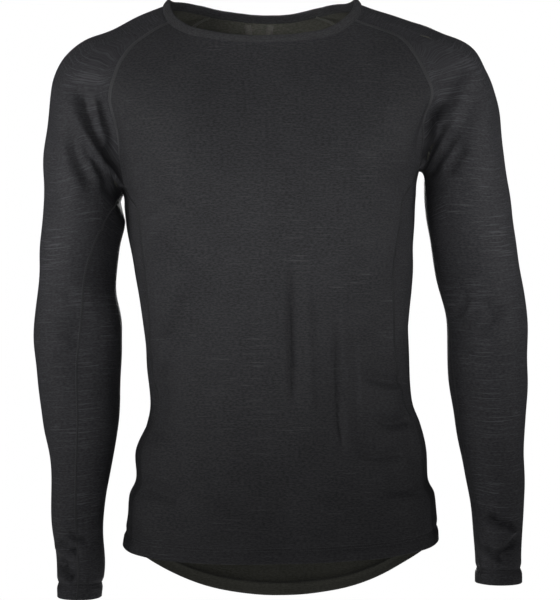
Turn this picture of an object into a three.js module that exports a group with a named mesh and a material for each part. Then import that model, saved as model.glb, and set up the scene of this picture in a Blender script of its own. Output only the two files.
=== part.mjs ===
// A long-sleeved raglan base layer top, filled out as when it is worn, with nobody inside.
// Millimetres. +X is to the right of somebody who looks at the front, -Y is the front, +Z is up.
// The origin is the middle of the neck opening, at the height of the neck points of the shoulders.
import * as THREE from "three";

// Driving sizes of the cloth
const WALL = 1.5; // thickness of a cloth wall
const SEAM_GAP = 0.3; // gap between two pieces along their seam
const HALF_GAP = SEAM_GAP / 2;
const UNDERARM_GAP = 0.7; // a side panel ends this far below the armhole
const ROUNDNESS = 2.3; // exponent of the rounded sections of the body: 2 is an ellipse
const BAND_WIDTH = 11.5; // neck binding, from its seam to its top edge
const BAND_LEAN = 38; // degrees that the binding leans in over the neck
const BAND_WALL = 2.3; // the binding is cloth folded over the raw edge
const BAND_PROUD = 0.4; // it stands this far outside the panels
const NECK_MIDDLE_Y = -6; // the point that the binding leans in to

// Hanging loop of narrow tape inside the back neck
const TAPE_WIDTH = 8.6;
const TAPE_WALL = 1.2;
const TAPE_CLEARANCE = 0.9; // between the tape and the inside of the back
const TAPE_SLOPE = 0.12; // the tape hangs nearly straight down, while the back slopes away behind it
const LOOP_CENTRE_X = -4;
const LOOP_TOP_Z = -7;
const LOOP_LEG_LENGTH = 44;
const LOOP_TOP_HALF = 14.7; // half the distance between the two sewn ends
const LOOP_BEND_RADIUS = 8;
const LOOP_LEG_STEPS = 6;
const LOOP_BEND_STEPS = 8;

// Columns of each piece
const PANEL_COLUMNS = 16; // across the front and the back
const SIDE_COLUMNS = 6; // across a side panel, and along the underarm of a sleeve
const NECK_COLUMNS = 4; // along the neck edge of a sleeve
const BAND_ROWS = 2;

// Sections of the body from the hem to the neck. Each is a rounded ring round centre, with its half width
// and its depth to the front and to the back. The seams stand at a share of the depth: front seams of the
// left and right side, and back seams. From the underarm up they are the raglan seams. rows is the number
// of grid rows up to the next section.
const bodyRings = [
  { rows: 2, centre: 24.5, half: 197, front: 104, back: 126, seamLeft: 0.38, seamRight: 0.34, seamBack: 0.8 },
  { rows: 2, centre: 26, half: 195, front: 106, back: 125, seamLeft: 0.37, seamRight: 0.33, seamBack: 0.78 },
  { rows: 2, centre: 26, half: 192, front: 106, back: 122, seamLeft: 0.36, seamRight: 0.32, seamBack: 0.74 },
  { rows: 2, centre: 26, half: 182, front: 104, back: 116, seamLeft: 0.36, seamRight: 0.32, seamBack: 0.7 },
  { rows: 2, centre: 24, half: 180.5, front: 102, back: 108, seamLeft: 0.36, seamRight: 0.33, seamBack: 0.66 },
  { rows: 2, centre: 26, half: 172, front: 100, back: 100, seamLeft: 0.36, seamRight: 0.36, seamBack: 0.63 },
  { rows: 2, centre: 23.5, half: 163.5, front: 99, back: 96, seamLeft: 0.38, seamRight: 0.44, seamBack: 0.61 },
  { rows: 2, centre: 20, half: 163, front: 100, back: 95, seamLeft: 0.4, seamRight: 0.52, seamBack: 0.6 },
  { rows: 2, centre: 18, half: 166, front: 104, back: 98, seamLeft: 0.45, seamRight: 0.58, seamBack: 0.58 },
  { rows: 2, centre: 15, half: 172.5, front: 113, back: 104, seamLeft: 0.5, seamRight: 0.6, seamBack: 0.55 },
  { rows: 2, centre: 12.8, half: 178.5, front: 121, back: 111, seamLeft: 0.52, seamRight: 0.56, seamBack: 0.51 },
  { rows: 2, centre: 12, half: 181, front: 124, back: 113, seamLeft: 0.5, seamRight: 0.51, seamBack: 0.49 },
  { rows: 2, centre: 12.5, half: 185, front: 125, back: 115, seamLeft: 0.28, seamRight: 0.28, seamBack: 0.48 },
  { rows: 2, centre: 14, half: 213, front: 122, back: 118, seamLeft: 0.52, seamRight: 0.52, seamBack: 0.565 },
  { rows: 2, centre: 13, half: 228, front: 116, back: 115, seamLeft: 0.58, seamRight: 0.58, seamBack: 0.658 },
  { rows: 2, centre: 11, half: 219, front: 108, back: 107, seamLeft: 0.6, seamRight: 0.6, seamBack: 0.733 },
  { rows: 1, centre: 9, half: 204, front: 103, back: 102, seamLeft: 0.58, seamRight: 0.58, seamBack: 0.757 },
  { rows: 1, centre: 7, half: 184, front: 98, back: 96, seamLeft: 0.54, seamRight: 0.54, seamBack: 0.793 },
  { rows: 2, centre: 4, half: 152, front: 92, back: 87, seamLeft: 0.49, seamRight: 0.49, seamBack: 0.83 },
  { rows: 0, centre: 1, half: 123, front: 85, back: 76, seamLeft: 0.43, seamRight: 0.43, seamBack: 0.88 },
];
// Heights of the same sections, at their front middle, their sides and their back middle. backCurve is
// how late the back drops from its sides to its middle. tilt lifts the right side and lowers the left, and
// backTilt does so within the back.
const bodyHeights = [
  { frontZ: -677, sideZ: -659, backZ: -745, backCurve: 1.9, tilt: 4, backTilt: -3 },
  { frontZ: -646, sideZ: -630, backZ: -703, backCurve: 1.9, tilt: 3, backTilt: -2 },
  { frontZ: -612, sideZ: -602, backZ: -652, backCurve: 1.7, tilt: 1, backTilt: -1 },
  { frontZ: -586, sideZ: -582, backZ: -606, backCurve: 1.4, tilt: 0, backTilt: 0 },
  { frontZ: -547, sideZ: -547, backZ: -556, backCurve: 1.2, tilt: 0, backTilt: 0 },
  { frontZ: -514, sideZ: -513, backZ: -515, backCurve: 1, tilt: 0, backTilt: 0 },
  { frontZ: -485, sideZ: -485, backZ: -485, backCurve: 1, tilt: 0, backTilt: 0 },
  { frontZ: -440, sideZ: -440, backZ: -440, backCurve: 1, tilt: 0, backTilt: 0 },
  { frontZ: -390, sideZ: -390, backZ: -390, backCurve: 1, tilt: 0, backTilt: 0 },
  { frontZ: -330, sideZ: -330, backZ: -330, backCurve: 1, tilt: 0, backTilt: 0 },
  { frontZ: -270, sideZ: -274, backZ: -270, backCurve: 1, tilt: 3, backTilt: 0 },
  { frontZ: -240, sideZ: -240, backZ: -240, backCurve: 1, tilt: 7, backTilt: 0 },
  { frontZ: -217, sideZ: -208, backZ: -217, backCurve: 1, tilt: 11, backTilt: 0 },
  { frontZ: -179, sideZ: -121, backZ: -172, backCurve: 1, tilt: 10, backTilt: 0 },
  { frontZ: -143, sideZ: -65, backZ: -130, backCurve: 1, tilt: 5, backTilt: 0 },
  { frontZ: -112, sideZ: -26, backZ: -92, backCurve: 1, tilt: 2, backTilt: 0 },
  { frontZ: -96, sideZ: -7.5, backZ: -72, backCurve: 1.1, tilt: 3, backTilt: 0 },
  { frontZ: -82, sideZ: 2, backZ: -52, backCurve: 1.4, tilt: 3.5, backTilt: -1 },
  { frontZ: -66, sideZ: 7, backZ: -28, backCurve: 3, tilt: 2, backTilt: -2 },
  { frontZ: -48, sideZ: 7, backZ: -4, backCurve: 8, tilt: 1, backTilt: -2.5 },
];
const bodySections = bodyRings.map((ring, index) => ({ ...ring, ...bodyHeights[index] }));
const UNDERARM = 12; // the section at which the side panels end and the raglan seams begin

// Sections of each sleeve from the shoulder to the cuff: the outer and the inner point of the section
// as seen from the front, how far its middle stands behind the side line, and half its depth.
const leftArm = [
  { rows: 3, outerX: -221.5, outerZ: -35.5, innerX: -179, innerZ: -238, behind: 0, depth: 65 },
  { rows: 2, outerX: -257, outerZ: -81, innerX: -176, innerZ: -252, behind: 1, depth: 64 },
  { rows: 2, outerX: -268, outerZ: -150, innerX: -173, innerZ: -266, behind: 2, depth: 61 },
  { rows: 2, outerX: -273, outerZ: -232, innerX: -178, innerZ: -296, behind: 2, depth: 58 },
  { rows: 2, outerX: -279, outerZ: -325, innerX: -181, innerZ: -344, behind: 2, depth: 54 },
  { rows: 2, outerX: -285, outerZ: -390, innerX: -173, innerZ: -392, behind: 0, depth: 53 },
  { rows: 2, outerX: -281, outerZ: -450, innerX: -175, innerZ: -450, behind: -6, depth: 51 },
  { rows: 2, outerX: -273, outerZ: -510, innerX: -178, innerZ: -510, behind: -13, depth: 47 },
  { rows: 2, outerX: -264, outerZ: -570, innerX: -189, innerZ: -570, behind: -21, depth: 41 },
  { rows: 2, outerX: -258, outerZ: -630, innerX: -194, innerZ: -630, behind: -28, depth: 36 },
  { rows: 2, outerX: -253, outerZ: -688, innerX: -192, innerZ: -688, behind: -34, depth: 33 },
  { rows: 0, outerX: -250, outerZ: -725, innerX: -195, innerZ: -725, behind: -38, depth: 32 },
];
const rightArm = [
  { rows: 3, outerX: 246, outerZ: -32, innerX: 203, innerZ: -205, behind: 0, depth: 65 },
  { rows: 2, outerX: 282, outerZ: -76, innerX: 204, innerZ: -218, behind: 1, depth: 64 },
  { rows: 2, outerX: 301, outerZ: -145, innerX: 205, innerZ: -240, behind: 2, depth: 61 },
  { rows: 2, outerX: 312, outerZ: -230, innerX: 207, innerZ: -275, behind: 2, depth: 58 },
  { rows: 2, outerX: 321, outerZ: -318, innerX: 216, innerZ: -324, behind: 2, depth: 54 },
  { rows: 2, outerX: 330, outerZ: -378, innerX: 229, innerZ: -376, behind: 0, depth: 53 },
  { rows: 2, outerX: 330, outerZ: -445, innerX: 233, innerZ: -445, behind: -6, depth: 51 },
  { rows: 2, outerX: 328, outerZ: -510, innerX: 241, innerZ: -510, behind: -13, depth: 47 },
  { rows: 2, outerX: 326, outerZ: -570, innerX: 252, innerZ: -570, behind: -21, depth: 41 },
  { rows: 2, outerX: 324, outerZ: -625, innerX: 261, innerZ: -625, behind: -28, depth: 36 },
  { rows: 2, outerX: 320, outerZ: -676, innerX: 264, innerZ: -676, behind: -34, depth: 33 },
  { rows: 0, outerX: 320, outerZ: -707, innerX: 265, innerZ: -707, behind: -38, depth: 32 },
];
const SEAM_ROWS = 3; // grid rows of a sleeve from its seam to its first section
const SEAM_FOLLOW = 0.35; // how far a sleeve starts in the direction of the panel that it is sewn to
const UNDERARM_FOLLOW = 0.9; // how far it starts straight out from the body under the arm
// Where the columns of a sleeve meet its sections, in degrees from the outer point towards the front
const FRONT_NECK_ANGLE = 38;
const FRONT_UNDERARM_ANGLE = 124;

// Largest folds of the cloth. x and z are the middle of the fold as seen from the front, for a fold on
// the front (face -1) or the back (face 1). lean turns it from upright towards +X, in degrees. A trough
// has a negative depth and a ridge a positive one.
const folds = [
  { face: -1, x: -196, z: -160, lean: -28, length: 62, width: 13, depth: -6 },
  { face: -1, x: -211, z: -158, lean: -30, length: 62, width: 12, depth: 3.5 },
  { face: -1, x: -222, z: -172, lean: -22, length: 56, width: 12, depth: -4 },
  { face: -1, x: 222, z: -128, lean: 26, length: 58, width: 13, depth: -6 },
  { face: -1, x: 236, z: -128, lean: 30, length: 60, width: 12, depth: 3.5 },
  { face: -1, x: 248, z: -142, lean: 22, length: 54, width: 12, depth: -4 },
  { face: 1, x: -200, z: -165, lean: -24, length: 60, width: 13, depth: -6 },
  { face: 1, x: -220, z: -160, lean: -30, length: 55, width: 12, depth: 3.5 },
  { face: 1, x: 226, z: -138, lean: 24, length: 60, width: 13, depth: -6 },
  { face: 1, x: 246, z: -132, lean: 30, length: 55, width: 12, depth: 3.5 },
  { face: -1, x: -104, z: -440, lean: 24, length: 90, width: 15, depth: -3.5 },
  { face: -1, x: -122, z: -520, lean: -52, length: 44, width: 14, depth: -3 },
  { face: -1, x: 38, z: -410, lean: 1, length: 62, width: 16, depth: -3 },
  { face: -1, x: 90, z: -480, lean: 3, length: 66, width: 18, depth: -3.2 },
  { face: -1, x: 64, z: -470, lean: 2, length: 60, width: 14, depth: 2 },
  { face: -1, x: 158, z: -512, lean: 74, length: 36, width: 11, depth: -4 },
  { face: -1, x: 150, z: -588, lean: 80, length: 38, width: 12, depth: -3 },
  { face: -1, x: -120, z: -600, lean: -78, length: 40, width: 12, depth: -3.5 },
  { face: 1, x: -20, z: -430, lean: 82, length: 90, width: 16, depth: -5 },
  { face: 1, x: 60, z: -482, lean: 97, length: 84, width: 16, depth: -5 },
  { face: 1, x: -70, z: -500, lean: 70, length: 60, width: 15, depth: -4 },
  { face: 1, x: 110, z: -405, lean: 118, length: 66, width: 14, depth: -4 },
  { face: -1, x: -235, z: -400, lean: 66, length: 34, width: 12, depth: -4 },
  { face: -1, x: -232, z: -436, lean: 104, length: 32, width: 12, depth: -3 },
  { face: -1, x: 278, z: -372, lean: -42, length: 36, width: 11, depth: -4.5 },
  { face: -1, x: 284, z: -412, lean: -62, length: 34, width: 12, depth: -3.5 },
  { face: -1, x: -236, z: -676, lean: 60, length: 22, width: 9, depth: -3.5 },
  { face: -1, x: -216, z: -650, lean: 112, length: 22, width: 9, depth: -2.5 },
  { face: -1, x: 292, z: -628, lean: 112, length: 26, width: 9, depth: -3.5 },
  { face: -1, x: 296, z: -668, lean: 52, length: 24, width: 9, depth: -3 },
  { face: 1, x: -226, z: -384, lean: 82, length: 36, width: 12, depth: -4 },
  { face: 1, x: -228, z: -424, lean: 96, length: 34, width: 12, depth: -4 },
  { face: 1, x: 276, z: -378, lean: 98, length: 36, width: 12, depth: -4 },
  { face: 1, x: 280, z: -420, lean: 84, length: 34, width: 12, depth: -4 },
];
const FOLD_END = 3; // exponent with which a fold fades out towards its ends
const FACING_START = 0.1; // a fold starts on cloth that faces its way by more than this

const vector = (x, y, z) => new THREE.Vector3(x, y, z);
const radians = THREE.MathUtils.degToRad;
const mix = THREE.MathUtils.lerp;

// A smooth value between four successive ones, from the second to the third.
function through(a, b, c, d, share) {
  const bend = (3 * (b - c) + d - a) * share + 2 * a - 5 * b + 4 * c - d;
  return b + 0.5 * share * (c - a + share * bend);
}

// One section between two rows of a table, at a place such as 3.5.
function sectionAt(table, place) {
  const last = table.length - 1;
  const low = Math.min(Math.floor(place), last - 1);
  const row = (index) => table[THREE.MathUtils.clamp(index, 0, last)];
  const section = {};
  for (const column of Object.keys(table[0])) {
    const four = [-1, 0, 1, 2].map((step) => row(low + step)[column]);
    section[column] = through(...four, place - low);
  }
  return section;
}

// Places down or up a table, with the grid rows that each of its rows asks for.
function placesOf(table, first, last) {
  const places = [];
  for (let index = first; index < last; index += 1) {
    for (let step = 0; step < table[index].rows; step += 1) places.push(index + step / table[index].rows);
  }
  return [...places, last];
}

const belly = (share) => Math.pow(Math.max(0, 1 - Math.pow(Math.abs(share), ROUNDNESS)), 1 / ROUNDNESS);

// A point of a body section. across runs from -1 on the left side to 1 on the right, and depth is the
// share of the depth to the front (face -1) or to the back (face 1).
function bodyPoint(section, face, across, depth) {
  const reach = face < 0 ? section.front : section.back;
  const middleZ = face < 0 ? section.frontZ : section.backZ;
  const curve = face < 0 ? 1 : section.backCurve;
  const x = section.centre + section.half * across;
  const tilt = section.tilt + (face < 0 ? 0 : section.backTilt * depth);
  const z = mix(section.sideZ, middleZ, Math.pow(depth, curve)) + tilt * across;
  return vector(x, face * reach * depth, z);
}

// A row across the front or the back, from the left seam to the right one.
function panelRow(section, face) {
  const left = belly(face < 0 ? section.seamLeft : section.seamBack);
  const right = belly(face < 0 ? section.seamRight : section.seamBack);
  const spread = radians(78);
  return Array.from({ length: PANEL_COLUMNS + 1 }, (_, column) => {
    const turn = Math.sin(mix(-spread, spread, column / PANEL_COLUMNS)) / Math.sin(spread);
    const across = turn < 0 ? turn * left : turn * right;
    const seamShare = face > 0 ? section.seamBack : turn < 0 ? section.seamLeft : section.seamRight;
    return bodyPoint(section, face, across, Math.abs(turn) === 1 ? seamShare : belly(across));
  });
}

// A row round one side of the body, from its front seam to its back seam.
function sideRow(section, side, columns) {
  const start = -(side < 0 ? section.seamLeft : section.seamRight);
  return Array.from({ length: columns + 1 }, (_, column) => {
    const depth = mix(start, section.seamBack, column / columns);
    return bodyPoint(section, depth < 0 ? -1 : 1, side * belly(depth), Math.abs(depth));
  });
}

const lowPlaces = placesOf(bodySections, 0, UNDERARM);
const highPlaces = placesOf(bodySections, UNDERARM, bodySections.length - 1);
const bodyAt = (place) => sectionAt(bodySections, place);
const neck = bodyAt(bodySections.length - 1);

const panelGrid = (face) => [...lowPlaces, ...highPlaces.slice(1)].map((place) => panelRow(bodyAt(place), face));
const sideGrid = (side) => lowPlaces.map((place) => sideRow(bodyAt(place), side, SIDE_COLUMNS));

// The edge that a sleeve is sewn to, as one closed loop: up the front raglan seam, along the neck, down
// the back raglan seam and back under the arm. Each point has the angle at which its column meets the
// sections of the sleeve, and the direction in which the cloth beside the seam runs into it.
function armhole(side) {
  const edge = side < 0 ? 0 : PANEL_COLUMNS;
  const inner = edge + (side < 0 ? 1 : -1);
  const seam = (face) =>
    highPlaces.map((place) => {
      const row = panelRow(bodyAt(place), face);
      return { point: row[edge], run: row[edge].clone().sub(row[inner]), follow: SEAM_FOLLOW };
    });
  const front = seam(-1);
  const back = seam(1).reverse();
  const outward = vector(side, 0, 0);
  const neckEdge = sideRow(neck, side, NECK_COLUMNS).map((point) => ({ point, run: outward, follow: 0 }));
  const under = sideRow(bodyAt(UNDERARM), side, SIDE_COLUMNS)
    .map((point) => ({ point, run: outward, follow: UNDERARM_FOLLOW }))
    .reverse();
  const stretches = [
    [front, FRONT_UNDERARM_ANGLE, FRONT_NECK_ANGLE],
    [neckEdge, FRONT_NECK_ANGLE, -FRONT_NECK_ANGLE],
    [back, -FRONT_NECK_ANGLE, -FRONT_UNDERARM_ANGLE],
    [under, -FRONT_UNDERARM_ANGLE, FRONT_UNDERARM_ANGLE - 360],
  ];
  return stretches.flatMap(([points, from, to]) =>
    points.slice(0, -1).map((entry, index) => ({ ...entry, angle: mix(from, to, index / (points.length - 1)) })),
  );
}

// A point on a sleeve section. The angle runs from the outer point to the front.
function armPoint(section, angle) {
  const { outerX, outerZ, innerX, innerZ, behind, depth } = section;
  const outward = Math.cos(radians(angle));
  const x = (outerX + innerX) / 2 + (outward * (outerX - innerX)) / 2;
  const z = (outerZ + innerZ) / 2 + (outward * (outerZ - innerZ)) / 2;
  return vector(x, behind - depth * Math.sin(radians(angle)), z);
}

// A smooth point between the second and the third of four points.
function between(a, b, c, d, share) {
  return vector(
    through(a.x, b.x, c.x, d.x, share),
    through(a.y, b.y, c.y, d.y, share),
    through(a.z, b.z, c.z, d.z, share),
  );
}

// Each column of a sleeve starts at its point of the armhole and runs smoothly through the sections.
function sleeveGrid(side) {
  const arm = side < 0 ? leftArm : rightArm;
  const loop = armhole(side);
  const places = placesOf(arm, 0, arm.length - 1);
  const start = Array.from({ length: SEAM_ROWS }, (_, row) => row / SEAM_ROWS);
  const columns = loop.map(({ point, run, follow, angle }) => {
    const stops = arm.map((section) => armPoint(section, angle));
    const natural = stops[0].clone().sub(point);
    const lead = natural.clone().lerp(run.clone().setLength(natural.length()), follow);
    const before = stops[0].clone().sub(lead.multiplyScalar(2));
    const all = [before, point, ...stops];
    const after = stops.at(-1).clone().multiplyScalar(2).sub(stops.at(-2));
    all.push(after);
    const at = (place) => {
      const low = Math.min(Math.floor(place), arm.length - 1);
      return between(all[low], all[low + 1], all[low + 2], all[low + 3], place - low);
    };
    return [...start, ...places.map((place) => place + 1)].map(at);
  });
  return columns[0].map((_, row) => columns.map((column) => column[row]));
}

// Outward direction of the cloth at each point of a grid. A grid is a list of rows, each a list of
// points, and a closed one runs round in itself from its last column to its first.
function gridNormals(grid, closed, turn) {
  const rows = grid.length;
  const columns = grid[0].length;
  return grid.map((row, i) =>
    row.map((_, j) => {
      const nextColumn = closed ? (j + 1) % columns : Math.min(j + 1, columns - 1);
      const lastColumn = closed ? (j + columns - 1) % columns : Math.max(j - 1, 0);
      const acrossRow = row[nextColumn].clone().sub(row[lastColumn]);
      const upColumn = grid[Math.min(i + 1, rows - 1)][j].clone().sub(grid[Math.max(i - 1, 0)][j]);
      return acrossRow.cross(upColumn).multiplyScalar(turn).normalize();
    }),
  );
}

// Pieces that meet at a seam have the same points there. They share the mean direction too, so that
// their walls stay in line.
function shareNormals(pieces) {
  const sums = new Map();
  const key = (point) => point.toArray().map((value) => Math.round(value * 100)).join(" ");
  for (const piece of pieces) {
    piece.normals = gridNormals(piece.grid, piece.closed, piece.turn);
    piece.grid.forEach((row, i) =>
      row.forEach((point, j) => {
        const name = key(point);
        if (!sums.has(name)) sums.set(name, vector(0, 0, 0));
        sums.get(name).add(piece.normals[i][j]);
      }),
    );
  }
  for (const piece of pieces) {
    piece.normals = piece.grid.map((row) => row.map((point) => sums.get(key(point)).clone().normalize()));
  }
}

// How far the folds move a point of the cloth.
function foldAt(point, normal) {
  let total = 0;
  for (const fold of folds) {
    const facing = THREE.MathUtils.smoothstep(normal.y * fold.face, FACING_START, 0.6);
    const aside = point.x - fold.x;
    const above = point.z - fold.z;
    const lean = radians(fold.lean);
    const along = aside * Math.sin(lean) + above * Math.cos(lean);
    const across = aside * Math.cos(lean) - above * Math.sin(lean);
    const end = Math.exp(-Math.pow(Math.abs(along) / fold.length, FOLD_END));
    total += fold.depth * facing * end * Math.exp(-Math.pow(across / fold.width, 2));
  }
  return total;
}

// A fold that reaches a seam runs on into the piece beside it.
function foldPieces(pieces) {
  shareNormals(pieces);
  for (const piece of pieces) {
    piece.grid = piece.grid.map((row, i) =>
      row.map((point, j) => {
        const normal = piece.normals[i][j];
        return point.clone().addScaledVector(normal, foldAt(point, normal));
      }),
    );
  }
  shareNormals(pieces);
}

// Moves the first and last rows and columns of a grid back from the seams. trims holds how far the
// first and the last row move.
function trimmed(piece) {
  const { grid, closed, trims } = piece;
  const pulled = grid.map((row) => row.map((point) => point.clone()));
  const pull = (target, from, to, length) => {
    target.addScaledVector(to.clone().sub(from).normalize(), length);
  };
  const lastRow = grid.length - 1;
  const lastColumn = grid[0].length - 1;
  grid[0].forEach((_, j) => {
    pull(pulled[0][j], grid[0][j], grid[1][j], trims[0]);
    pull(pulled[lastRow][j], grid[lastRow][j], grid[lastRow - 1][j], trims[1]);
  });
  if (!closed) {
    grid.forEach((row, i) => {
      pull(pulled[i][0], row[0], row[1], HALF_GAP);
      pull(pulled[i][lastColumn], row[lastColumn], row[lastColumn - 1], HALF_GAP);
    });
  }
  return pulled;
}

// A closed wall between a grid of outer points and the same points moved in by its thickness.
function wall(grid, normals, closed, turn, thickness) {
  const rows = grid.length;
  const columns = grid[0].length;
  const outer = grid.flat();
  const inner = outer.map((point, index) => point.clone().addScaledVector(normals.flat()[index], -thickness));
  const positions = [...outer, ...inner].flatMap((point) => point.toArray());
  const indices = [];
  const quad = (a, b, c, d) => (turn > 0 ? indices.push(a, b, c, a, c, d) : indices.push(a, c, b, a, d, c));
  const steps = closed ? columns : columns - 1;
  const below = rows * columns;
  for (let i = 0; i < rows - 1; i += 1) {
    for (let j = 0; j < steps; j += 1) {
      const here = i * columns + j;
      const next = i * columns + ((j + 1) % columns);
      quad(here, next, next + columns, here + columns);
      quad(below + here, below + here + columns, below + next + columns, below + next);
    }
    if (!closed) {
      const first = i * columns;
      const last = first + columns - 1;
      quad(first, first + columns, below + first + columns, below + first);
      quad(last, below + last, below + last + columns, last + columns);
    }
  }
  for (let j = 0; j < steps; j += 1) {
    const next = (j + 1) % columns;
    const top = (rows - 1) * columns;
    quad(j, below + j, below + next, next);
    quad(top + j, top + next, below + top + next, below + top + j);
  }
  const geometry = new THREE.BufferGeometry();
  geometry.setAttribute("position", new THREE.Float32BufferAttribute(positions, 3));
  geometry.setIndex(indices);
  geometry.computeVertexNormals();
  return geometry;
}

// The binding runs round the whole neck edge and stands up from it, leaning in.
function bandSolid(panels) {
  const pick = (name) => panels.find((piece) => piece.name === name);
  const lastOf = (name) => {
    const { grid, normals } = pick(name);
    return grid.at(-1).map((point, j) => ({ point, normal: normals.at(-1)[j] }));
  };
  const strip = (name) => {
    const { grid, normals } = pick(name);
    const first = highPlaces.length - 1;
    return Array.from({ length: NECK_COLUMNS + 1 }, (_, step) => ({
      point: grid[0][first + step],
      normal: normals[0][first + step],
    }));
  };
  const loop = [
    ...lastOf("front_panel").slice(0, -1),
    ...strip("right_sleeve").slice(0, -1),
    ...lastOf("back_panel").reverse().slice(0, -1),
    ...strip("left_sleeve").reverse().slice(0, -1),
  ];
  const lean = radians(BAND_LEAN);
  const grid = Array.from({ length: BAND_ROWS + 1 }, (_, row) =>
    loop.map(({ point, normal }) => {
      const inward = vector(neck.centre - point.x, NECK_MIDDLE_Y - point.y, 0).normalize();
      const rise = inward.multiplyScalar(Math.sin(lean)).add(vector(0, 0, Math.cos(lean)));
      const height = SEAM_GAP + BAND_WIDTH * (row / BAND_ROWS);
      return point.clone().addScaledVector(normal, BAND_PROUD).addScaledVector(rise, height);
    }),
  );
  const normals = gridNormals(grid, true, 1);
  normals[0] = loop.map(({ normal }) => normal);
  return wall(grid, normals, true, 1, BAND_WALL);
}

// Middle line of the hanging loop as seen from the front: a leg down, a round bend and a leg up.
function loopLine() {
  const line = [];
  const bottom = LOOP_TOP_Z - LOOP_LEG_LENGTH;
  for (let step = 0; step < LOOP_LEG_STEPS; step += 1) {
    const share = step / LOOP_LEG_STEPS;
    line.push([-mix(LOOP_TOP_HALF, LOOP_BEND_RADIUS, share), mix(LOOP_TOP_Z, bottom, share)]);
  }
  for (let step = 0; step <= LOOP_BEND_STEPS; step += 1) {
    const turn = Math.PI * (step / LOOP_BEND_STEPS);
    line.push([-LOOP_BEND_RADIUS * Math.cos(turn), bottom - LOOP_BEND_RADIUS * Math.sin(turn)]);
  }
  const up = line.slice(0, LOOP_LEG_STEPS).map(([x, z]) => [-x, z]);
  return [...line, ...up.reverse()];
}

// Depth of the back panel where somebody who looks from the front sees x and z.
function backDepth(grid, x, z) {
  const crossings = grid.map((row) => {
    const next = Math.max(1, row.findIndex((point) => point.x > x));
    const share = (x - row[next - 1].x) / (row[next].x - row[next - 1].x);
    return row[next - 1].clone().lerp(row[next], share);
  });
  const above = Math.max(1, crossings.findIndex((point) => point.z > z));
  const share = (z - crossings[above - 1].z) / (crossings[above].z - crossings[above - 1].z);
  return mix(crossings[above - 1].y, crossings[above].y, share);
}

// The tape is sewn in at the back neck, just inside the back panel, and hangs down from there.
function loopSolid(backGrid) {
  const line = loopLine();
  const sewn = backDepth(backGrid, LOOP_CENTRE_X, LOOP_TOP_Z) - WALL - TAPE_CLEARANCE - TAPE_WALL;
  const grid = line.map(([x, z], index) => {
    const [x0, z0] = line[Math.max(index - 1, 0)];
    const [x1, z1] = line[Math.min(index + 1, line.length - 1)];
    const aside = new THREE.Vector2(z0 - z1, x1 - x0).setLength(TAPE_WIDTH / 2);
    return [-1, 1].map((sign) => {
      const atZ = z + sign * aside.y;
      return vector(LOOP_CENTRE_X + x + sign * aside.x, sewn + TAPE_SLOPE * (LOOP_TOP_Z - atZ), atZ);
    });
  });
  const forward = grid.map((row) => row.map(() => vector(0, -1, 0)));
  return wall(grid, forward, false, -1, TAPE_WALL);
}

const jersey = new THREE.MeshStandardMaterial({ color: 0x2b2c2e, roughness: 0.92, metalness: 0 });
const binding = new THREE.MeshStandardMaterial({ color: 0x2f3033, roughness: 0.9, metalness: 0 });
const tape = new THREE.MeshStandardMaterial({ color: 0x2a2a28, roughness: 0.85, metalness: 0 });

// turn is 1 where a step along a row and then a step to the next row turn left seen from outside.
const pieces = [
  { name: "front_panel", grid: panelGrid(-1), closed: false, turn: 1, trims: [0, HALF_GAP] },
  { name: "back_panel", grid: panelGrid(1), closed: false, turn: -1, trims: [0, HALF_GAP] },
  { name: "left_side_panel", grid: sideGrid(-1), closed: false, turn: -1, trims: [0, UNDERARM_GAP] },
  { name: "right_side_panel", grid: sideGrid(1), closed: false, turn: 1, trims: [0, UNDERARM_GAP] },
  { name: "left_sleeve", grid: sleeveGrid(-1), closed: true, turn: 1, trims: [HALF_GAP, 0] },
  { name: "right_sleeve", grid: sleeveGrid(1), closed: true, turn: -1, trims: [HALF_GAP, 0] },
];
foldPieces(pieces);

const garment = new THREE.Group();
const add = (name, geometry, material) => {
  const mesh = new THREE.Mesh(geometry, material);
  mesh.name = name;
  garment.add(mesh);
};
for (const piece of pieces) {
  add(piece.name, wall(trimmed(piece), piece.normals, piece.closed, piece.turn, WALL), jersey);
}
add("neck_binding", bandSolid(pieces), binding);
add("hanging_loop", loopSolid(pieces.find((piece) => piece.name === "back_panel").grid), tape);

export default garment;
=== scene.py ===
import math

import bpy
import numpy as np
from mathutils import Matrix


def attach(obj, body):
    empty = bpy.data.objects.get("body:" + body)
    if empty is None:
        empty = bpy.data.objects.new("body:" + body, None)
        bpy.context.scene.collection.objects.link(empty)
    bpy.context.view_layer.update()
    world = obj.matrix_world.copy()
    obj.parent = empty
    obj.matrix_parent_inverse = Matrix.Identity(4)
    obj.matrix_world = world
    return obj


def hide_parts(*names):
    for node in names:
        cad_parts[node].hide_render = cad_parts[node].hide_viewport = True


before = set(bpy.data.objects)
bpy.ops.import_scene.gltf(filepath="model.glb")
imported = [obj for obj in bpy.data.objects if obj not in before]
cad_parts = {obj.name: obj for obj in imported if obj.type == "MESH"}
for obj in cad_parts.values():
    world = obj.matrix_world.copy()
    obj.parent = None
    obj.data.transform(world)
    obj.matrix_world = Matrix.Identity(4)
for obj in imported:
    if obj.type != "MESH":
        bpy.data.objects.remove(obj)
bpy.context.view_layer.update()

# Sizes in millimetres, in the part's frame: +X to the right of somebody who looks at the front, -Y is
# the front, +Z is up. Meshes are made in metres at the end.
MM = 0.001
CLOTH = 0.9  # thickness of the jersey
HEM_EXTRA = 0.8  # the turned-in hem is thicker by this
HEM_DEPTH = 16.5  # stitch line above the hem edge
CUFF_DEPTH = 17.5  # stitch line above the cuff edge
ROUNDNESS = 2.3  # exponent of the rounded sections of the body
BAND_LEAN = 38  # degrees that the binding leans in over the neck
NECK_MIDDLE_Y = -6
FOLD_CLOTH = 0.7  # thickness of the folded strip of the binding
BAND_STEP = 2.2  # distance between the sections of the binding
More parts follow.
